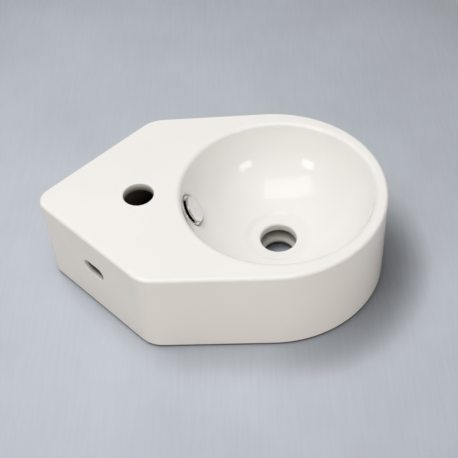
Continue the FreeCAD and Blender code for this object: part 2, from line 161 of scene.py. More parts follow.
# %% Plan
LENGTH, FRONT_RADIUS, SHOULDER_HALF = 395.0, 132.5, 130.0
CORNER_RADIUS, SHOULDER_RADIUS = 20.0, 35.0
BOWL_FORWARD = 8.5
CORNER_X = -LENGTH / 2 - CORNER_RADIUS * (math.sqrt(2) - 1)
FRONT_X = LENGTH / 2 - FRONT_RADIUS
BOWL_X = FRONT_X + BOWL_FORWARD
BOWL_AXIS = np.array((BOWL_X, 0.0))


def towards(degrees):
    """Unit vectors in the plane at the given angles from +X."""
    angle = np.radians(degrees)
    return np.stack((np.cos(angle), np.sin(angle)), -1)


def rays_on_line(start, end, count):
    """Points of a straight run from start to end, at even angles as seen from the bowl's axis.

    A ray at angle a meets the line where distance from the foot is depth times tan(a).
    """
    along = (end - start) / np.linalg.norm(end - start)
    foot = start + along * np.dot(BOWL_AXIS - start, along)
    depth = np.linalg.norm(foot - BOWL_AXIS)
    first, last = (math.atan(np.dot(p - foot, along) / depth) for p in (start, end))
    return foot + np.tan(np.linspace(first, last, count + 1))[:, None] * depth * along


def half_plan():
    """Points and outward directions from the room corner round to the front, on the +Y side."""
    to_front = np.array((FRONT_X - CORNER_X - SHOULDER_HALF, -SHOULDER_HALF))
    flare = math.degrees(
        math.atan2(to_front[1], to_front[0]) + math.asin(FRONT_RADIUS / np.linalg.norm(to_front))
    )
    wall_out, side_out = towards(135.0), towards(90.0 + flare)
    tip_centre = np.array((CORNER_X + CORNER_RADIUS * math.sqrt(2), 0.0))
    sharp = np.array((CORNER_X + SHOULDER_HALF, SHOULDER_HALF))
    setback = SHOULDER_RADIUS * math.tan(math.radians((45.0 - flare) / 2))
    shoulder_start = sharp - towards(45.0) * setback
    shoulder_centre = shoulder_start - wall_out * SHOULDER_RADIUS
    front_centre = np.array((FRONT_X, 0.0))
    turns = (
        (tip_centre, CORNER_RADIUS, np.linspace(180.0, 135.0, 11)),
        (shoulder_centre, SHOULDER_RADIUS, np.linspace(135.0, 90.0 + flare, 15)),
        (front_centre, FRONT_RADIUS, np.linspace(90.0 + flare, 0.0, 87)),
    )
    arcs = [centre + radius * towards(angles) for centre, radius, angles in turns]
    outs = [towards(angles) for _, _, angles in turns]
    wall = rays_on_line(arcs[0][-1], arcs[1][0], 44)[1:-1]
    side = rays_on_line(arcs[1][-1], arcs[2][0], 38)[1:-1]
    points = np.concatenate((arcs[0], wall, arcs[1], side, arcs[2]))
    wall_outs, side_outs = np.tile(wall_out, (len(wall), 1)), np.tile(side_out, (len(side), 1))
    normals = np.concatenate((outs[0], wall_outs, outs[1], side_outs, outs[2]))
    return points, normals


def whole_plan():
    """The half plan, then its mirror image without the two points on the middle line."""
    points, normals = half_plan()
    mirror = np.array((1.0, -1.0))
    return (
        np.concatenate((points, points[-2:0:-1] * mirror)),
        np.concatenate((normals, normals[-2:0:-1] * mirror)),
    )


PLAN, OUTWARDS = whole_plan()
TOP_ROUND = 4.0
deck_edge = PLAN - OUTWARDS * TOP_ROUND - BOWL_AXIS
FAN = deck_edge / np.linalg.norm(deck_edge, axis=1)[:, None]
print(len(PLAN), "columns round the basin, length", round(float(np.ptp(PLAN[:, 0])), 2))

# %% [markdown]
# ## The section through the bowl
#
# The real basin is slip-cast: liquid clay sets inside a plaster mould, so the walls are even and
# every inside corner is soft. One closed section tells the whole story. It starts in the outlet
# under the waste hole, climbs through the overflow gallery and over the lip, follows the bowl up
# to its rolled rim, crosses the deck, goes down the outer wall to the foot, up inside, and back
# along the bowl's underside. A row of the grid is one point of that section carried right round
# the basin. Near the bowl it is carried round a circle, and at the outside round the plan.

# %% Section helpers
HEIGHT, WALL, DECK = 115.0, 10.0, 11.0
MOUTH_RADIUS, RIM_ROLL, RIM_LEAN = 116.0, 6.0, math.radians(15.0)
WASTE_RADIUS, WASTE_EDGE = 21.5, 3.0
SEAT_INNER, SEAT_RADIUS, SEAT_HEIGHT, SEAT_FALL = WASTE_RADIUS + WASTE_EDGE, 36.0, 33.0, 1.0
SEAT_SLOPE = SEAT_FALL / (SEAT_RADIUS - SEAT_INNER)
STEP_RUN, STEP_RISE = 2.0, 2.4
RIM_OUT = MOUTH_RADIUS - RIM_ROLL * math.cos(RIM_LEAN)
RIM_HEIGHT = HEIGHT - RIM_ROLL + RIM_ROLL * math.sin(RIM_LEAN)
STEP_TOP = np.array((SEAT_RADIUS + STEP_RUN, SEAT_HEIGHT + SEAT_FALL + STEP_RISE))
ARC_RUN, ARC_DROP = RIM_OUT - STEP_TOP[0], RIM_HEIGHT - STEP_TOP[1]
BOWL_ARC = (ARC_RUN ** 2 + ARC_DROP ** 2) / (
    2 * (ARC_RUN * math.cos(RIM_LEAN) - ARC_DROP * math.sin(RIM_LEAN))
)
ARC_OUT = RIM_OUT - BOWL_ARC * math.cos(RIM_LEAN)
ARC_HEIGHT = RIM_HEIGHT + BOWL_ARC * math.sin(RIM_LEAN)


def bowl_section(radius, lean):
    """Arc of the bowl's section: distance from the axis and height, for leans in radians."""
    return np.stack((ARC_OUT + radius * np.cos(lean), ARC_HEIGHT - radius * np.sin(lean)), -1)


def lean_at(radius, distance):
    """Lean at which an arc of the bowl's section is a given distance from the axis."""
    return math.acos((distance - ARC_OUT) / radius)


def quarter(centre, radius, first, last, count):
    """Arc of a section about a centre, from one angle in degrees to another, both ends included."""
    return np.array(centre) + radius * towards(np.linspace(first, last, count + 1))


def on_seat(distance):
    """Height of the nearly flat seat at a distance from the bowl's axis."""
    return SEAT_HEIGHT + (distance - SEAT_INNER) * SEAT_SLOPE


def seat_rise(inner, outer):
    """The seat's rise into the bowl: a cubic that leaves the seat and meets the bowl without a kink.

    With t from 0 to 1, each end's height and slope are blended by t's Hermite weights.
    """
    t = np.linspace(0, 1, 13)
    span = outer - inner
    lean = lean_at(BOWL_ARC, outer)
    low, high = on_seat(inner), bowl_section(BOWL_ARC, lean)[1]
    height = (
        (2 * t ** 3 - 3 * t ** 2 + 1) * low + (t ** 3 - 2 * t ** 2 + t) * span * SEAT_SLOPE
        + (3 * t ** 2 - 2 * t ** 3) * high + (t ** 3 - t ** 2) * span / math.tan(lean)
    )
    return np.stack((inner + span * t, height), -1)


print("bowl arc radius", round(BOWL_ARC, 2), "centre", round(ARC_OUT, 2), round(ARC_HEIGHT, 2))

# %% [markdown]
# ### The two halves of the section
#
# A mould maker would cut this basin's section from two templates. One has the outlet, the
# gallery, the lip, the seat and the bowl on its edge, and it turns about the waste hole's axis.
# The other has the deck's edge, the apron and the foot, and it is led round the plan. They are
# drawn here as two lists of points with an arc wherever the clay is round. The deck is only the
# straight way from one to the other, in rows that are close together at its rims.

# %% Rows of the basin
BOSS_BOTTOM, BOSS_RADIUS, BOSS_EDGE = 1.0, 40.0, 1.5
OUTLET_RADIUS, OUTLET_EDGE, OUTLET_LIP = 18.0, 5.0, 3.0
GALLERY_RADIUS, GALLERY_FLOOR, GALLERY_TOP = 33.0, 10.0, 23.0
RISE_START, RISE_END = 32.0, 41.0
FOOT_ROUND, INSIDE_ROUND = 3.0, 5.0


def inside_section():
    """From the outlet's bottom edge up through gallery, lip, seat and bowl to the deck.

    The points written as plain numbers only keep the quads of a long straight run even.
    """
    outlet_lip = (OUTLET_RADIUS + OUTLET_LIP, BOSS_BOTTOM + OUTLET_LIP)
    outlet_edge = (OUTLET_RADIUS + OUTLET_EDGE, GALLERY_FLOOR - OUTLET_EDGE)
    leans = np.linspace(lean_at(BOWL_ARC, RISE_END), RIM_LEAN, 57)
    return np.concatenate((
        quarter(outlet_lip, OUTLET_LIP, 270, 180, 6),
        quarter(outlet_edge, OUTLET_EDGE, 180, 90, 7),
        ((28.0, GALLERY_FLOOR), (GALLERY_RADIUS, GALLERY_FLOOR), (GALLERY_RADIUS, 16.0)),
        ((GALLERY_RADIUS, GALLERY_TOP), (27.0, GALLERY_TOP)),
        ((WASTE_RADIUS, GALLERY_TOP), (WASTE_RADIUS, 26.5)),
        quarter((SEAT_INNER, SEAT_HEIGHT - WASTE_EDGE), WASTE_EDGE, 180, 90, 7),
        ((28.0, on_seat(28.0)),),
        seat_rise(RISE_START, RISE_END),
        bowl_section(BOWL_ARC, leans)[1:],
        quarter((MOUTH_RADIUS, HEIGHT - RIM_ROLL), RIM_ROLL, 165, 90, 9)[1:],
    ))


def outside_section():
    """How far in from the plan, and how high: over the top edge, down to the foot and up inside."""
    return np.concatenate((
        quarter((TOP_ROUND, HEIGHT - TOP_ROUND), TOP_ROUND, 90, 180, 9),
        [(0.0, height) for height in (109.5, 92.0, 70.0, 45.0, 20.0, 4.2, 3.6)],
        quarter((FOOT_ROUND, FOOT_ROUND), FOOT_ROUND, 180, 270, 5),
        [(inset, 0.0) for inset in (4.5, 7.5, WALL)],
        [(WALL, height) for height in (3.0, 32.0, 62.0, 86.0)],
        quarter((WALL + INSIDE_ROUND, HEIGHT - DECK - INSIDE_ROUND), INSIDE_ROUND, 180, 90, 6),
    ))


def ringed(section):
    """Section points carried round the bowl's axis, along the fan of columns."""
    flat = BOWL_AXIS + section[:, None, :1] * FAN[None]
    return np.concatenate((flat, np.broadcast_to(section[:, None, 1:], flat.shape[:2] + (1,))), -1)


def offset(section):
    """Section points carried round the plan, moved inwards along its own directions."""
    flat = PLAN[None] - section[:, None, :1] * OUTWARDS[None]
    return np.concatenate((flat, np.broadcast_to(section[:, None, 1:], flat.shape[:2] + (1,))), -1)


def between(first, last, shares):
    """Rows on the straight way from one row to another."""
    return first[None] + np.array(shares)[:, None, None] * (last - first)[None]


inside, outside = ringed(inside_section()), offset(outside_section())
deck = between(inside[-1], outside[0], (0.02, 0.15, 0.3, 0.45, 0.6, 0.75, 0.9, 0.985))
print("rows so far:", len(inside) + len(deck) + len(outside))

# %% [markdown]
# ### Where the bowl's back meets the front wall
#
# Underneath, the bowl's back slopes out at 45 degrees to carry the deck. At the round front the
# outer wall stands nearer than that slope reaches, so there the hollow ends where the slope
# meets the wall. Cutting the two shapes with a boolean would leave slivers all the way round.
# Instead each column is followed up the wall until it is about to enter the slope, and every
# later point of that column stays at the crossing.

# %% Underside rows
BOWL_WALL, ROOT_LEAN = 9.0, math.radians(26.0)
BACK = BOWL_ARC + BOWL_WALL
ROOT = bowl_section(BACK, ROOT_LEAN)


def from_axis(points):
    """Level distance of points from the bowl's axis."""
    return np.linalg.norm(points[..., :2] - BOWL_AXIS, axis=-1)


def stopped_at_slope(rows):
    """Holds each column at the point where its gap to the 45 degree slope falls to nothing."""
    gap = from_axis(rows) - (ROOT[0] + rows[..., 2] - ROOT[1])
    inside_slope = gap < 0
    first = np.where(inside_slope.any(0), inside_slope.argmax(0), len(rows))
    column = np.arange(rows.shape[1])
    over = np.clip(first, 1, len(rows) - 1)
    before, after = gap[over - 1, column], gap[over, column]
    share = np.where(first < len(rows), before / np.maximum(before - after, 1e-9), 1.0)[:, None]
    crossing = rows[over - 1, column] + share * (rows[over, column] - rows[over - 1, column])
    late = np.arange(len(rows))[:, None] >= first[None]
    return np.where(late[..., None], crossing[None], rows), crossing, first < len(rows)


slope_top = (ROOT[0] + HEIGHT - DECK - ROOT[1], HEIGHT - DECK)
slope = ringed(np.linspace(slope_top, ROOT, 5))
foot_rows = int(np.argmax(outside_section()[:, 0] >= WALL)) + 1
up_inside, crossing, met = stopped_at_slope(np.concatenate((
    outside[foot_rows:], between(outside[-1], slope[0], (0.35, 0.7, 1.0)),
)))
too_far = from_axis(slope) > from_axis(crossing)
slope = np.where((too_far & met)[..., None], crossing[None], slope)[1:]
under_bowl = ringed(np.concatenate((
    bowl_section(BACK, np.linspace(ROOT_LEAN, lean_at(BACK, BOSS_RADIUS), 25))[1:],
    ((BOSS_RADIUS, 14.0), (BOSS_RADIUS, 3.0)),
    quarter((BOSS_RADIUS - BOSS_EDGE, BOSS_BOTTOM + BOSS_EDGE), BOSS_EDGE, 0, -90, 4),
    ((32.0, BOSS_BOTTOM), (25.0, BOSS_BOTTOM)),
)))
casting_rows = np.concatenate((inside, deck, outside[:foot_rows], up_inside, slope, under_bowl))
china = as_mesh("china", casting_rows, along=True)
print("casting before its holes: cm3, open edges, faces", measured(china))

# %% [markdown]
# ## The duct, the holes and the slots
#
# A second mould part leaves a flat duct behind the bowl, which takes water from the overflow
# hole down to the gallery. The holes are cut while the clay is still soft and wiped with a wet
# sponge, so their edges are rolled over. Each cut here is a tool shape: a profile carried along a
# path. Boolean modifiers then cut the clay with the tools, which is how it is really done, and
# the result is kept as a plain mesh.

# %% Tools for cutting
STEPS = np.linspace(0, 2 * math.pi, 97)[:-1]


def turned(profile, origin, first, second, axis, steps=STEPS):
    """Profile of (radius, height) pairs turned about an axis through origin.

    A point is origin + height * axis + radius * (cos a * first + sin a * second).
    """
    profile = np.array(profile, float)
    rim = np.cos(steps)[:, None] * first + np.sin(steps)[:, None] * second
    return origin + profile[:, None, 1:] * axis + profile[:, None, :1] * rim[None]


def behind_bowl(low, high, width, rounding, last_lean, roof=1e3):
    """Channel behind the bowl: a rounded rectangle of arc radius by Y, carried along the lean.

    Its outer corners are quarter circles. It starts at the rim's lean, or where it meets the roof.
    """
    half = width / 2
    left = quarter((-half + rounding, high - rounding), rounding, 180, 90, 6)
    across = np.linspace(-half + rounding, half - rounding, 5)[1:-1]
    top = np.stack((across, np.full(3, high)), -1)
    right_side = quarter((half - rounding, high - rounding), rounding, 90, 0, 6)
    bottom = np.stack((np.linspace(half, -half, 9), np.full(9, low)), -1)
    section = np.concatenate((left, top, right_side, bottom))
    radius = section[:, 1]
    start = np.maximum(RIM_LEAN, np.arcsin(np.clip((ARC_HEIGHT - roof) / radius, -1, 1)))
    lean = start + np.linspace(0, 1, 28)[:, None] * (last_lean - start)
    out = bowl_section(radius, lean)
    sideways = np.broadcast_to(section[:, 0], lean.shape)
    return np.stack((BOWL_X - out[..., 0], sideways, out[..., 1]), -1)


def cut(mesh, tool, operation="DIFFERENCE"):
    """The mesh after one exact boolean with a tool mesh, as a new plain mesh."""
    body, cutter = as_object(mesh), as_object(tool)
    change = body.modifiers.new("cut", "BOOLEAN")
    change.operation, change.solver, change.object = operation, "EXACT", cutter
    bpy.context.view_layer.update()
    graph = bpy.context.evaluated_depsgraph_get()
    result = bpy.data.meshes.new_from_object(body.evaluated_get(graph))
    name = mesh.name
    for used in (body, cutter):
        bpy.data.objects.remove(used)
    for used in (mesh, tool):
        bpy.data.meshes.remove(used)
    result.name = name
    return welded(result)


# %% [markdown]
# ### The duct behind the bowl
#
# The duct can be felt under a real basin as a smooth ridge down the bowl's back. A curve or a
# lattice modifier could bend a box round the bowl, but the ridge is nothing more than a rounded
# rectangle that keeps its distance from the bowl. So it is carried along the bowl's own arc
# twice: a wide one is joined to the clay, and a narrower one inside it is cut out again.

# %% Duct behind the bowl
ALONG_X, ALONG_Y, UP = np.eye(3)
DUCT_SKIN, DUCT_DEPTH, DUCT_WALL = 8.0, 13.0, 7.0
DUCT_WIDTH, DUCT_ROUND, DUCT_REACH = 34.0, 5.0, 6.0
CASING_FRONT, CASING_BACK = 3.0, DUCT_SKIN + DUCT_DEPTH + DUCT_WALL
IN_GALLERY = GALLERY_RADIUS - DUCT_REACH
SPARE = 1.0

casing = as_mesh("casing", behind_bowl(
    BOWL_ARC + CASING_FRONT, BOWL_ARC + CASING_BACK, DUCT_WIDTH + 2 * DUCT_WALL,
    DUCT_ROUND + DUCT_WALL, lean_at(BOWL_ARC + CASING_BACK / 2, IN_GALLERY),
), ends=True)
gallery_wall = GALLERY_RADIUS + SPARE
gallery_profile = ((gallery_wall, GALLERY_FLOOR - SPARE), (gallery_wall, GALLERY_TOP + SPARE))
gallery = turned(gallery_profile, np.array((BOWL_X, 0, 0)), ALONG_X, ALONG_Y, UP)
china = cut(china, cut(casing, as_mesh("gallery", gallery, ends=True)), "UNION")
passage = as_mesh("passage", behind_bowl(
    BOWL_ARC + DUCT_SKIN, BOWL_ARC + DUCT_SKIN + DUCT_DEPTH, DUCT_WIDTH, DUCT_ROUND,
    lean_at(BOWL_ARC + DUCT_SKIN + DUCT_DEPTH / 2, IN_GALLERY), roof=HEIGHT - DECK - DUCT_WALL / 2,
), ends=True)
china = cut(china, passage)
print("with its duct: cm3, open edges, faces", measured(china))

# %% [markdown]
# ### The overflow hole and its land
#
# A flat cover can't sit on a curved bowl. The mould therefore leaves a flat round land for it,
# sunk a little into the bowl, with the hole in the middle. One turned tool cuts everything: the
# wall of the hole, the land, and the soft step from the land's edge back up to the bowl.

# %% Overflow hole and the land round it
OVERFLOW_RADIUS, OVERFLOW_BELOW_TOP = 11.5, 30.0
LAND_RADIUS, LAND_DEPTH, LAND_EASE = 18.9, 1.6, 1.0
OVERFLOW_LEAN = math.asin((ARC_HEIGHT - HEIGHT + OVERFLOW_BELOW_TOP) / BOWL_ARC)
OUT_OF_LAND = np.array((math.cos(OVERFLOW_LEAN), 0, math.sin(OVERFLOW_LEAN)))
DOWN_LAND = np.array((math.sin(OVERFLOW_LEAN), 0, -math.cos(OVERFLOW_LEAN)))
on_bowl = bowl_section(BOWL_ARC, OVERFLOW_LEAN)
LAND = np.array((BOWL_X - on_bowl[0], 0, on_bowl[1])) - LAND_DEPTH * OUT_OF_LAND


def about_land(profile, steps=STEPS):
    """Profile turned about the overflow's axis: height 0 is the land, and up is into the bowl."""
    return turned(profile, LAND, DOWN_LAND, ALONG_Y, OUT_OF_LAND, steps)


land_side = ((1.0, 2.4), (1.15, 2.75), (1.45, 3.05), (1.9, 3.25), (2.7, 3.6), (2.7, 9.0))
overflow_tool = np.concatenate((
    [(OVERFLOW_RADIUS, height) for height in (-14.5, -10.0, -5.0, -1.5, -0.4)],
    ((OVERFLOW_RADIUS + 0.4, 0.0), (15.0, 0.0)),
    quarter((LAND_RADIUS - LAND_EASE, LAND_EASE), LAND_EASE, -90, -24, 4),
    [(LAND_RADIUS + beyond, height) for beyond, height in land_side],
))
china = cut(china, as_mesh("overflow", about_land(overflow_tool), ends=True))
print("with its overflow: cm3, open edges, faces", measured(china))

# %% [markdown]
# ### The tap hole and the fixing slots
#
# The tap hole is punched through the deck, and a slot in each wall face takes a bolt that can be
# slid sideways. A wet sponge rounds their edges. A chamfer would look machined, and a Bevel
# modifier would round every other edge that it finds, so the rounding is part of each tool.

# %% Tap hole and fixing slots
TAP_RADIUS, TAP_EDGE, TAP_FROM_CORNER = 17.5, 1.5, 121.5
SLOT_LENGTH, SLOT_HEIGHT, SLOT_EDGE = 33.0, 17.0, 1.0
SLOT_FROM_CORNER, SLOT_LEVEL = 98.5, HEIGHT - 48.0
TAP_AT = np.array((CORNER_X + TAP_FROM_CORNER, 0, 0))
tap_tool = np.concatenate((
    [(TAP_RADIUS, height) for height in (99.0, 104.5, 106.5, 108.0, 109.5, 112.0)],
    quarter((TAP_RADIUS + TAP_EDGE, HEIGHT - TAP_EDGE), TAP_EDGE, 180, 92, 7),
    ((TAP_RADIUS + TAP_EDGE, HEIGHT + 6.0),),
))
china = cut(china, as_mesh("tap", turned(tap_tool, TAP_AT, ALONG_X, ALONG_Y, UP), ends=True))


def slot_tool(side):
    """Stadium carried through the wall, opening out by a rolled lip at its face.

    A stadium is a short level line widened by a radius, so a lip only makes that radius longer.
    """
    inward = np.array((1.0, -side, 0.0)) / math.sqrt(2)
    level = np.cross(UP, inward)
    reach = SLOT_FROM_CORNER / math.sqrt(2)
    centre = np.array((CORNER_X + reach, side * reach, SLOT_LEVEL))
    lip = np.radians(np.linspace(12, 90, 6))
    through = (2.5, 3.7, 5.0, 6.5, 8.0, 9.5, 15.0)
    depth = np.concatenate(((-5.0,), SLOT_EDGE * (1 - np.cos(lip)), through))
    grow = np.concatenate(((SLOT_EDGE,), SLOT_EDGE * (1 - np.sin(lip)), np.zeros(len(through))))
    ring = towards(np.linspace(-90, 270, 49)[:-1])
    half_line = (SLOT_LENGTH - SLOT_HEIGHT) / 2
    shift = np.where(ring[:, 0] > -1e-9, half_line, -half_line)[:, None] * np.array((1.0, 0.0))
    flat = shift[None] + ring[None] * (SLOT_HEIGHT / 2 + grow[:, None, None])
    return centre + depth[:, None, None] * inward + flat[..., :1] * level + flat[..., 1:] * UP


for side in (-1, 1):
    china = cut(china, as_mesh("slot", slot_tool(side), ends=True))
print("with every hole: cm3, open edges, faces", measured(china))

# %% [markdown]
# ### Shading the casting
#
# Glaze shows every fault in the normals, because they are what a reflection follows. Edges
# sharper than 35 degrees are marked so that the shading breaks there, and the Weighted Normal
# modifier lets the large flat faces decide the normals that they share with narrow roundings.
# The glaze doesn't reach everywhere. It is wiped off the foot and stops inside the holes. Three
# point attributes reach the shader: the first says where the fired clay shows, the second paints
# shade into the waste hole's gallery, and the third paints shade deep in the holes, low in the
# outlet and as a shadow line along the foot.

# %% Glaze limits and normals
SHARP = math.radians(35.0)
IN_TAP = TAP_RADIUS + 1.1       # the tap hole, up to where its edge is nearly level
AROUND_LAND = 30.0              # a ball about the land's middle that holds the whole overflow hole
AT_SLOT = SLOT_LENGTH / 2 + 2.5
CORNER_END = -110.0             # both slots lie nearer to the room corner than this X
BATCH = 4000                    # points compared with the plan at a time, to spare memory


def smooth_ramp(value, low, high):
    """0 below low, 1 above high, and 3 s squared minus 2 s cubed between them."""
    share = np.clip((value - low) / (high - low), 0, 1)
    return share * share * (3 - 2 * share)


def on_wall_face(points):
    """How far in from the nearer wall face, and how far along it from where the faces meet."""
    out, aside = points[:, 0] - CORNER_X, np.abs(points[:, 1])
    return (out - aside) / math.sqrt(2), (out + aside) / math.sqrt(2)


def bare_clay(points):
    """1 where the clay is bare: the foot, the hollow underneath, and the walls of the holes."""
    x, y, z = points.T
    inwards, along = on_wall_face(points)
    foot = 1 - smooth_ramp(z, 2.4, 3.6)
    at_slot = (np.abs(along - SLOT_FROM_CORNER) < AT_SLOT) * (np.abs(z - SLOT_LEVEL) < SLOT_HEIGHT)
    in_slot = at_slot * (x < CORNER_END) * smooth_ramp(inwards, 2.5, 5.0)
    in_tap = (np.hypot(x - TAP_AT[0], y) < IN_TAP) * (1 - smooth_ramp(z, 110.5, 113.3))
    near_land = np.linalg.norm(points - LAND, axis=1) < AROUND_LAND
    overflow = near_land * (1 - smooth_ramp((points - LAND) @ OUT_OF_LAND, -1.2, -0.2))
    hollow = (z < HEIGHT - DECK + 0.5) * (from_axis(points) > BOSS_RADIUS - 1) * (inwards > WALL - 1)
    return np.maximum.reduce((foot, in_slot, in_tap, overflow, hollow * under_back(points)))


def painted_shade_mask(points):
    """Painted shade: 1 for a shadow line along the foot, deep inside the holes, and low in the outlet.

    The slots' share has no end along the wall, so it also darkens the room corner at their level.
    """
    x, y, z = points.T
    out = from_axis(points)
    # A dark band low on the outer wall, painted as the shadow line under the foot's rounding.
    foot = (1 - smooth_ramp(z, 3.6, 4.2)) * (0.4 + 0.6 * smooth_ramp(z, 0.02, 0.5))
    foot *= np.where(out > BOSS_RADIUS + 20, 1.0, 0.4)
    in_slot = (np.abs(z - SLOT_LEVEL) < 10) * (x < CORNER_END)
    in_slot = in_slot * smooth_ramp(on_wall_face(points)[0], 1.8, 6.5)
    in_tap = (np.hypot(x - TAP_AT[0], y) < IN_TAP) * (1 - smooth_ramp(z, 103.0, 112.5))
    # Painted shade low in the outlet, for the dark under its ring.
    outlet_shade = (out < OUTLET_RADIUS + 6) * (1 - smooth_ramp(z, 5.0, 7.5))
    return np.maximum.reduce((foot, in_slot, in_tap, outlet_shade))


def painted_gallery_shade(points):
    """Painted shade in the waste hole: 1 far out in the gallery, and 0.4 in the outlet below it.

    The outlet's ring is darkened less, so that it looks lit from above.
    """
    out = from_axis(points)
    within = (out < GALLERY_RADIUS + 3) * (1 - smooth_ramp(points[:, 2], 19.0, 28.0))
    return within * (0.4 + 0.6 * smooth_ramp(out, 27.0, 30.0))


def under_back(points):
    """True for points that lie under the middle of the bowl's wall and inside the outer walls."""
    below = np.hypot(from_axis(points) - ARC_OUT, points[:, 2] - ARC_HEIGHT) > BOWL_ARC + BOWL_WALL / 2
    gap = np.empty(len(points))
    for batch in np.array_split(np.arange(len(points)), math.ceil(len(points) / BATCH)):
        gap[batch] = np.linalg.norm(points[batch, None, :2] - PLAN[None], axis=-1).min(1)
    return below & (gap > WALL - 1)


def coordinates(mesh):
    """The mesh's points in millimetres, one row for each."""
    flat = np.empty(len(mesh.vertices) * 3, np.float32)
    mesh.vertices.foreach_get("co", flat)
    return flat.reshape(-1, 3).astype(float) / MM


def shaded(mesh):
    """Object with smooth faces, its sharp edges marked, and weighted normals."""
    mesh.polygons.foreach_set("use_smooth", np.ones(len(mesh.polygons), bool))
    mesh.set_sharp_from_angle(angle=SHARP)
    piece = as_object(mesh)
    piece.modifiers.new("even", "WEIGHTED_NORMAL").keep_sharp = True
    return piece


for name, rule in (("bare", bare_clay), ("gallery_shade", painted_gallery_shade), ("painted_shade", painted_shade_mask)):
    mask = rule(coordinates(china)).astype(np.float32)
    china.attributes.new(name, "FLOAT", "POINT").data.foreach_set("value", mask)
    print("share of points marked", name, round(float(mask.mean()), 3))
casting = shaded(china)
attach(casting, "basin")
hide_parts("basin_body")
print("glaze limits and normals done")

# %% [markdown]
# ## The overflow cover
#
# A chromed brass ring sits on a soft washer, and a slightly domed disc on a stem stands in front
# of it so that water can pass all round. Both are turned parts, so their shapes are profiles
# carried round an axis. Tight edges get small arcs of their own, because a bright line along an
# edge is what makes metal look like metal.

# %% Turned pieces of the cover
DISC_RADIUS, DISC_EDGE, DISC_CROWN, DISC_BACK, DISC_FRONT = 16.0, 1.0, 0.5, 4.6, 7.2
STEM_RADIUS, STEM_BORE, STEM_END, BORE_END = 2.6, 1.55, -3.0, 3.05
FLANGE_RADIUS, FLANGE_EDGE, FLANGE_FRONT = 18.3, 0.8, 2.4
COLLAR_RADIUS, RING_BORE, COLLAR_END = 10.6, 9.6, -9.0
WASHER_INNER, WASHER_OUTER, WASHER_FRONT = 12.2, 16.4, 0.8
BACK_EDGE, BORE_EDGE, RIM_EDGE = 0.4, 0.4, 0.2


def cover_piece(name, profile, node, steps=STEPS, along=True):
    """A profile turned about the overflow's axis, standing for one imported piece."""
    piece = shaded(as_mesh(name, about_land(profile, steps), along=along))
    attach(piece, "overflow_cover")
    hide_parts(node)
    print(name, "cm3, open edges, faces", measured(piece.data))
    return piece


flat_radius = DISC_RADIUS - DISC_EDGE
crown_radius = (flat_radius ** 2 + DISC_CROWN ** 2) / (2 * DISC_CROWN)
crown = np.linspace(flat_radius, 0.0, 13)[1:]
crown_height = DISC_FRONT + DISC_CROWN - crown_radius + np.sqrt(crown_radius ** 2 - crown ** 2)
disc_profile = np.concatenate((
    ((0.0, BORE_END), (STEM_BORE, BORE_END), (STEM_BORE, STEM_END), (STEM_RADIUS - 0.15, STEM_END)),
    ((STEM_RADIUS, STEM_END + 0.15), (STEM_RADIUS, DISC_BACK - 0.4), (STEM_RADIUS + 0.4, DISC_BACK)),
    quarter((DISC_RADIUS - BACK_EDGE, DISC_BACK + BACK_EDGE), BACK_EDGE, -90, 0, 4),
    quarter((flat_radius, DISC_FRONT - DISC_EDGE), DISC_EDGE, 0, 90, 8),
    np.stack((crown, crown_height), -1),
))
fine_steps = np.linspace(0, 2 * math.pi, 129)[:-1]
disc = cover_piece(
    "cover_disc", disc_profile, "overflow_disc", fine_steps, along=False,
)

ring_profile = np.concatenate((
    ((RING_BORE, COLLAR_END), (COLLAR_RADIUS, COLLAR_END), (COLLAR_RADIUS, WASHER_FRONT)),
    quarter((FLANGE_RADIUS - RIM_EDGE, WASHER_FRONT + RIM_EDGE), RIM_EDGE, -90, 0, 3),
    quarter((FLANGE_RADIUS - FLANGE_EDGE, FLANGE_FRONT - FLANGE_EDGE), FLANGE_EDGE, 0, 90, 7),
    quarter((RING_BORE + BORE_EDGE, FLANGE_FRONT - BORE_EDGE), BORE_EDGE, 90, 180, 5),
    ((RING_BORE, -2.0),),
))
half_washer = WASHER_FRONT / 2
washer_profile = np.concatenate((
    quarter((WASHER_OUTER - half_washer, half_washer), half_washer, -90, 90, 6),
    quarter((WASHER_INNER + half_washer, half_washer), half_washer, 90, 270, 6),
))
washer = cover_piece("cover_washer", washer_profile, "overflow_gasket")

# %% [markdown]
# ### The ring's spider
#
# Three small arms cross the ring's bore and carry a hub for the disc's stem. Each arm is a
# rounded bar, which is a profile carried along a short straight path. The arms and hub are
# joined to the ring with booleans, so the casting reads as one piece of metal.

# %% Ring with its spider
ARMS, HUB_RADIUS, HUB_EDGE = 3, 3.6, 0.2
SPIDER_BACK, SPIDER_FRONT = -5.0, -3.0
ARM_HALF_WIDTH, ARM_ROUND, ARM_INSET, ARM_OVERLAP = 1.2, 0.3, 0.1, 1.0


def bar_across(degrees, start, end, half_width, low, high, rounding):
    """Rounded rectangle carried straight out from the axis, turned by an angle about it."""
    side, top, bottom = half_width - rounding, high - rounding, low + rounding
    centres = ((side, top), (-side, top), (-side, bottom), (side, bottom))
    section = np.concatenate([
        quarter(centre, rounding, 90 * k, 90 * k + 90, 3) for k, centre in enumerate(centres)
    ])
    outward, across = towards(degrees), towards(degrees + 90)
    outward = outward[0] * DOWN_LAND + outward[1] * ALONG_Y
    across = across[0] * DOWN_LAND + across[1] * ALONG_Y
    reach = np.linspace(start, end, 4)
    return (
        LAND + reach[:, None, None] * outward
        + section[None, :, :1] * across + section[None, :, 1:] * OUT_OF_LAND
    )


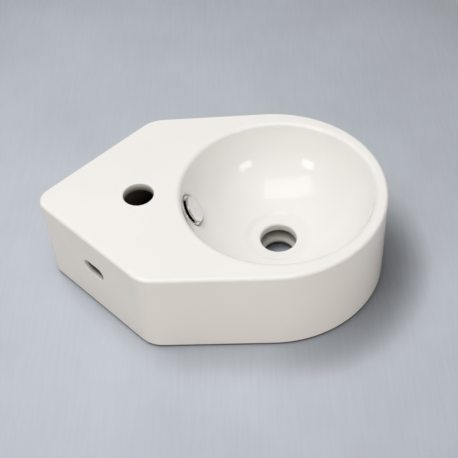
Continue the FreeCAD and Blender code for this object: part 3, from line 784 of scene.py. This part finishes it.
hub_face = HUB_RADIUS - HUB_EDGE
hub_profile = (
    (STEM_BORE, SPIDER_BACK), (hub_face, SPIDER_BACK), (HUB_RADIUS, SPIDER_BACK + HUB_EDGE),
    (HUB_RADIUS, SPIDER_FRONT - HUB_EDGE), (hub_face, SPIDER_FRONT), (STEM_BORE, SPIDER_FRONT),
)
spider = as_mesh("hub", about_land(hub_profile), along=True)
for k in range(ARMS):
    arm = bar_across(
        360.0 * k / ARMS, HUB_RADIUS - ARM_OVERLAP, COLLAR_RADIUS - ARM_OVERLAP / 2, ARM_HALF_WIDTH,
        SPIDER_BACK + ARM_INSET, SPIDER_FRONT - ARM_INSET, ARM_ROUND,
    )
    spider = cut(spider, as_mesh("arm", arm, ends=True), "UNION")
ring = shaded(cut(as_mesh("cover_ring", about_land(ring_profile), along=True), spider, "UNION"))
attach(ring, "overflow_cover")
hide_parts("overflow_ring")
print("ring cm3, open edges, faces", measured(ring.data))

# %% [markdown]
# ## Shader maths as plain expressions
#
# A shader is a graph of nodes, and wiring one by hand hides its idea. The class Signal wraps a
# socket and lets numbers be added and multiplied with it, so a mask can be written as 1 - wear.
# The class Finish holds one material, or the world, and adds any node through one method.
# Numbers that are the same all over stay on the shader's own sockets.

# %% Signals and finishes
class Signal:
    """A value that varies over the surface; each operator adds the Math node that works it out."""

    def __init__(self, finish, socket):
        self.finish, self.socket = finish, socket

    def maths(self, operation, *others, clamp=False):
        inputs = dict(enumerate((self, *others)))
        return self.finish.node("ShaderNodeMath", "Value", inputs, operation=operation, use_clamp=clamp)

    def __add__(self, other):
        return self.maths("ADD", other)

    def __sub__(self, other):
        return self.maths("SUBTRACT", other)

    def __rsub__(self, other):
        return self.maths("MULTIPLY_ADD", -1.0, other)

    def __mul__(self, other):
        return self.maths("MULTIPLY", other)

    __radd__ = __add__

    def held(self, low, high):
        """0 at low, 1 at high, straight between, and never outside 0 to 1."""
        return ((self - low) * (1.0 / (high - low))).maths("ADD", 0.0, clamp=True)


class Finish:
    """The shader of one material, or of the world, and the single way to add nodes to it."""

    def __init__(self, owner):
        owner.use_nodes = True
        self.owner, self.tree = owner, owner.node_tree
        self.tree.nodes.clear()

    def node(self, kind, output=None, inputs=None, **settings):
        """Adds a node, and returns the named output as a Signal, or the node if none is named."""
        node = self.tree.nodes.new(kind)
        for key, value in settings.items():
            setattr(node, key, value)
        for key, value in (inputs or {}).items():
            if isinstance(value, Signal):
                self.tree.links.new(value.socket, node.inputs[key])
            else:
                node.inputs[key].default_value = value
        return Signal(self, node.outputs[output]) if output is not None else node

    def mixed(self, share, first, second):
        """Colour between two colours by a varying share."""
        first, second = ((*c, 1.0) if isinstance(c, tuple) else c for c in (first, second))
        return self.node("ShaderNodeMix", 2, {0: share, 6: first, 7: second}, data_type="RGBA")

    def noise(self, at, scale, detail=2.0, roughness=0.5):
        inputs = {"Vector": at, "Scale": scale, "Detail": detail, "Roughness": roughness}
        return self.node("ShaderNodeTexNoise", "Fac", inputs)

    def stretched(self, at, scale, rotation=(0.0, 0.0, 0.0)):
        """Coordinates turned and then scaled by three factors, for streaks."""
        inputs = {"Vector": at, "Rotation": rotation, "Scale": scale}
        return self.node("ShaderNodeMapping", "Vector", inputs)

    def bump(self, height, strength, distance, **under):
        """Normals that follow a height times a distance in metres, on top of those given as Normal."""
        inputs = {"Height": height, "Strength": strength, "Distance": distance, **under}
        return self.node("ShaderNodeBump", "Normal", inputs)

    def seen(self, *kinds):
        """1 for the kinds of ray that are named, and 0 for every other ray."""
        rays = self.node("ShaderNodeLightPath")
        first, *others = (Signal(self, rays.outputs[f"Is {kind} Ray"]) for kind in kinds)
        for other in others:
            first = first.maths("MAXIMUM", other)
        return first

    def finished(self, **inputs):
        """Closes the material with a Principled shader; names use _ for a space."""
        named = {key.replace("_", " "): value for key, value in inputs.items()}
        self.node("ShaderNodeOutputMaterial", None, {
            "Surface": self.node("ShaderNodeBsdfPrincipled", "BSDF", named),
        })
        return self.owner

# %% [markdown]
# ## Glazed china
#
# White sanitary ware is a dense body under a clear-white glaze about half a millimetre thick.
# The glaze is glossy but never optically flat: it flowed in the kiln, so it has long soft waves
# and a faint orange peel. A few specks are left in it. Where it stops, the biscuit body shows,
# matt, sandy and warmer. One shader can hold both, with the edge of the glaze made uneven by
# adding noise to the mask before it is sharpened. It also paints shade: a dark grey in the waste
# hole's gallery, and near black deep in the holes, low in the outlet and along the foot.

# %% China
def glazed_china():
    glaze = Finish(bpy.data.materials.new("glazed_china"))
    at = glaze.node("ShaderNodeTexCoord", "Object")
    bare, gallery_shade, painted_shade = (
        glaze.node("ShaderNodeAttribute", "Fac", attribute_name=name)
        for name in ("bare", "gallery_shade", "painted_shade")
    )
    wander = glaze.noise(at, 160.0, 3.0)
    clay = (bare + (wander - 0.5) * 0.6).held(0.42, 0.58)
    drift = glaze.noise(at, 9.0, 2.0)
    grain = glaze.noise(at, 900.0, 3.0, 0.7)
    cells = glaze.node("ShaderNodeTexVoronoi", "Distance", {"Vector": at, "Scale": 55.0})
    sparse = glaze.noise(at, 31.0, 0.0)
    speck = (1 - cells.held(0.025, 0.05)) * sparse.held(0.60, 0.64)
    white = glaze.mixed(drift.held(0.3, 0.7), (0.845, 0.834, 0.811), (0.868, 0.858, 0.837))
    white = glaze.mixed(speck * 0.35, white, (0.55, 0.47, 0.38))
    # Painted shade: the dark grey that the waste hole's gallery is mixed towards.
    gallery_grey = glaze.mixed(wander.held(0.3, 0.7), (0.26, 0.245, 0.185), (0.35, 0.33, 0.25))
    white = glaze.mixed(gallery_shade, white, gallery_grey)
    body = glaze.mixed(grain.held(0.3, 0.7), (0.66, 0.60, 0.49), (0.77, 0.71, 0.60))
    # Painted shade: near black deep in the holes, low in the outlet and in a line along the foot.
    colour = glaze.mixed(painted_shade * 0.93, glaze.mixed(clay, white, body), (0.030, 0.028, 0.024))
    sheen = 0.05 + glaze.noise(at, 26.0, 3.0) * 0.04 + speck * 0.2
    ripples = glaze.noise(at, 38.0, 1.0) + glaze.noise(at, 420.0, 1.0) * 0.04
    waves = glaze.bump(ripples, 1.0, 0.00012)
    sand = glaze.bump(grain * clay, 0.5, 0.0002, Normal=waves)
    return glaze.finished(
        Base_Color=colour, Roughness=sheen * (1 - clay) + clay * 0.72, Normal=sand, IOR=1.52,
    )


casting.data.materials.clear()
casting.data.materials.append(glazed_china())
print("china finish:", len(casting.data.materials[0].node_tree.nodes), "nodes")

# %% [markdown]
# ## Chrome, rubber and spring steel
#
# Chrome plate is nearly a mirror. What gives it away as a real surface is a faint haze of dried
# water and fingerprints, so its roughness and its colour wander by a tenth or two.
# The washer is moulded rubber with a dusty bloom. The spring legs and the screw are plain
# stainless steel, rolled and turned, so they are duller and finely streaked.

# %% Metals and rubber
def chrome_plate(name, clean, stained):
    chrome = Finish(bpy.data.materials.new(name))
    at = chrome.node("ShaderNodeTexCoord", "Object")
    haze, spots = chrome.noise(at, 140.0, 4.0, 0.6), chrome.noise(at, 620.0, 2.0)
    colour = chrome.mixed(haze.held(0.3, 0.75), clean, stained)
    ripple = chrome.bump(chrome.noise(at, 220.0, 1.0), 0.4, 0.00003)
    dulled = 0.04 + haze.held(0.35, 0.8) * 0.10 + spots * 0.03
    return chrome.finished(Base_Color=colour, Metallic=1.0, Roughness=dulled, Normal=ripple)


def moulded_rubber():
    rubber = Finish(bpy.data.materials.new("moulded_rubber"))
    at = rubber.node("ShaderNodeTexCoord", "Object")
    bloom, grain = rubber.noise(at, 180.0, 3.0), rubber.noise(at, 2400.0, 2.0)
    colour = rubber.mixed(bloom.held(0.35, 0.75), (0.022, 0.021, 0.020), (0.060, 0.058, 0.055))
    skin = rubber.bump(grain, 0.4, 0.00005)
    return rubber.finished(Base_Color=colour, Roughness=0.55 + bloom * 0.2, Normal=skin)


def drawn_steel():
    steel = Finish(bpy.data.materials.new("drawn_steel"))
    at = steel.node("ShaderNodeTexCoord", "Object")
    along = steel.stretched(at, (60.0, 1500.0, 1500.0), (0.0, math.radians(30.0), 0.0))
    streak, tint = steel.noise(along, 1.0, 3.0, 0.6), steel.noise(at, 120.0, 2.0)
    colour = steel.mixed(tint.held(0.3, 0.7), (0.46, 0.45, 0.43), (0.60, 0.59, 0.57))
    grooves = steel.bump(streak, 0.3, 0.00004)
    return steel.finished(Base_Color=colour, Metallic=1.0, Roughness=0.22 + streak * 0.16, Normal=grooves)


FACE = chrome_plate("chrome_face", (0.80, 0.81, 0.82), (0.70, 0.705, 0.70))
# The ring's warm beige tint is a painted reflection of the cream china round it.
RING = chrome_plate("chrome_ring", (0.78, 0.75, 0.69), (0.60, 0.56, 0.48))
RUBBER, STEEL = moulded_rubber(), drawn_steel()
wanted = {disc: FACE, ring: RING, washer: RUBBER}
for name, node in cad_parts.items():
    if "screw" in name or "leg" in name:
        wanted[node] = STEEL
for piece, finish in wanted.items():
    piece.data.materials.clear()
    piece.data.materials.append(finish)
print("finished pieces:", sorted(piece.name for piece in wanted))

# %% [markdown]
# ## The paper
#
# The basin stands on pale blue-grey paper whose tone wanders a little at random. Painted into
# its colour are a pool of light, whose far edges fall off into grey, and shadow: beside the round
# front and under the outlet it is darker. A photograph of the paper would bring its own light with
# it, so the tone is a short formula in X and Y, in metres, with a little noise. The colour that the
# paper throws back onto the basin is chosen apart from the colour that the camera sees, because a
# real studio's walls would send warmer light as well.

# %% Paper
# Tones of the painted pool of light: at its middle, and where it has fallen off.
MIDDLE_TONE, FAR_TONE = 1.065, 0.74
DARKEST, LIGHTEST = (0.0487, 0.0524, 0.0578), (0.633, 0.681, 0.750)
THROWN_BACK = (0.54, 0.50, 0.465)
REACH = 20000.0


def sweep_paper():
    paper = Finish(bpy.data.materials.new("sweep_paper"))
    at = paper.node("ShaderNodeTexCoord", "Object")
    cloud, fibre = paper.noise(at, 5.0, 3.0, 0.6), paper.noise(at, 700.0, 3.0, 0.6)
    streak = paper.noise(paper.stretched(at, (240.0, 16.0, 1.0)), 1.0, 3.0, 0.6)
    split = paper.node("ShaderNodeSeparateXYZ", None, {"Vector": at})
    x, y = (Signal(paper, split.outputs[axis]) for axis in "XY")
    # A painted pool of light, brightest near the basin and falling off in every direction.
    light_pool = MIDDLE_TONE - x * 0.20 + y * 0.06 - (x * x + y * y) * 0.70
    from_bowl = x - BOWL_X * MM
    out = (from_bowl * from_bowl + y * y).maths("SQRT")
    # Painted shadow on the paper beside the round front.
    front_shadow = (1 - out.held(0.125, 0.185)) * (from_bowl * 0.94 - y * 0.34).held(0.03, 0.14)
    # Painted shadow on the paper under the outlet.
    outlet_shade = (1 - out.held(0.020, 0.030)) * y.held(0.003, 0.015)
    level = light_pool.maths("MAXIMUM", FAR_TONE) + (cloud - 0.5) * 0.26 + (fibre - 0.5) * 0.16
    level = level + (streak - 0.5) * 0.12
    level = level - front_shadow * 0.66 - outlet_shade * 0.7
    colour = paper.mixed(level.held(0.1, 1.3), DARKEST, LIGHTEST)
    colour = paper.mixed(paper.seen("Camera", "Glossy", "Transmission"), THROWN_BACK, colour)
    tooth = paper.bump(fibre, 0.15, 0.0002)
    return paper.finished(Base_Color=colour, Roughness=0.8, Specular_IOR_Level=0.2, Normal=tooth)


marks = np.linspace(-REACH, REACH, 3)
sheet = np.stack((*np.meshgrid(marks, marks), np.zeros((3, 3))), -1)
floor = as_object(as_mesh("paper", sheet, around=False))
floor.data.materials.append(sweep_paper())

# %% [markdown]
# ## The lamps
#
# Glaze is judged by what it reflects, so each lamp has one task. A strong one behind the basin
# casts the shadow to the right, and a low one in front lights the walls. Both are kept out of
# reflections. The long box overhead makes the broad highlight in the bowl, two small lamps make
# the two bright spots above it, and the sky fills everything else. Together they light a level
# surface with a strength of about one, so a colour comes out much as it is written.

# %% Sky and lamps
bpy.context.scene.world = bpy.data.worlds.new("studio")
sky = Finish(bpy.context.scene.world)
direction = sky.node("ShaderNodeTexCoord", "Generated")
upwards = sky.node("ShaderNodeSeparateXYZ", "Z", {"Vector": direction})
glow = 0.255 + upwards * upwards * 0.35
light, backdrop = (
    sky.node("ShaderNodeBackground", "Background", {"Color": colour, "Strength": strength})
    for colour, strength in (((1.0, 0.98, 0.955, 1.0), glow), ((0.50, 0.53, 0.57, 1.0), 1.0))
)
in_view = sky.seen("Camera", "Transmission")
both = sky.node("ShaderNodeMixShader", "Shader", {0: in_view, 1: light, 2: backdrop})
sky.node("ShaderNodeOutputWorld", None, {"Surface": both})


def soft_lamp(
    name, azimuth, height, distance, width, depth, brightness, colour=(1.0, 1.0, 1.0), level=None,
):
    """Rectangular lamp that faces the basin from a compass angle and a height angle, in degrees.

    A lamp of brightness 1 looks white, so its power is brightness times pi times its area. Its
    width lies level, or along the part of level that is square to its beam.
    """
    lamp = bpy.data.lights.new(name, "AREA")
    lamp.shape, lamp.size, lamp.size_y, lamp.color = "RECTANGLE", width, depth, colour
    lamp.energy = brightness * math.pi * width * depth
    aside, up = towards(height)
    back = np.append(towards(azimuth) * aside, up)
    across = np.cross(UP, back) if level is None else level - np.dot(level, back) * back
    across /= np.linalg.norm(across)
    turn = np.eye(4)
    turn[:3, :] = np.column_stack((across, np.cross(back, across), back, back * distance))
    holder = bpy.data.objects.new(name, lamp)
    holder.matrix_world = Matrix(turn.tolist())
    holder.visible_camera = False
    bpy.context.scene.collection.objects.link(holder)
    return holder


window = soft_lamp("back_window", 140.0, 70.0, 2.6, 0.9, 0.8, 10.3, (1.0, 0.99, 0.98))
window.visible_glossy = False
soft_lamp("overhead_box", -122.0, 69.0, 1.7, 1.65, 0.75, 1.55, level=ALONG_X)
fill = soft_lamp("front_fill", -88.0, 20.0, 2.2, 2.0, 1.0, 1.55, (1.0, 0.93, 0.89))
fill.visible_glossy = False
soft_lamp("small_lamp_right", -46.0, 31.0, 2.0, 0.52, 0.28, 3.6)
soft_lamp("small_lamp_left", -133.0, 33.0, 2.0, 0.52, 0.32, 3.6)
bpy.context.scene.view_settings.view_transform = "Standard"
print("lamps and sky ready")
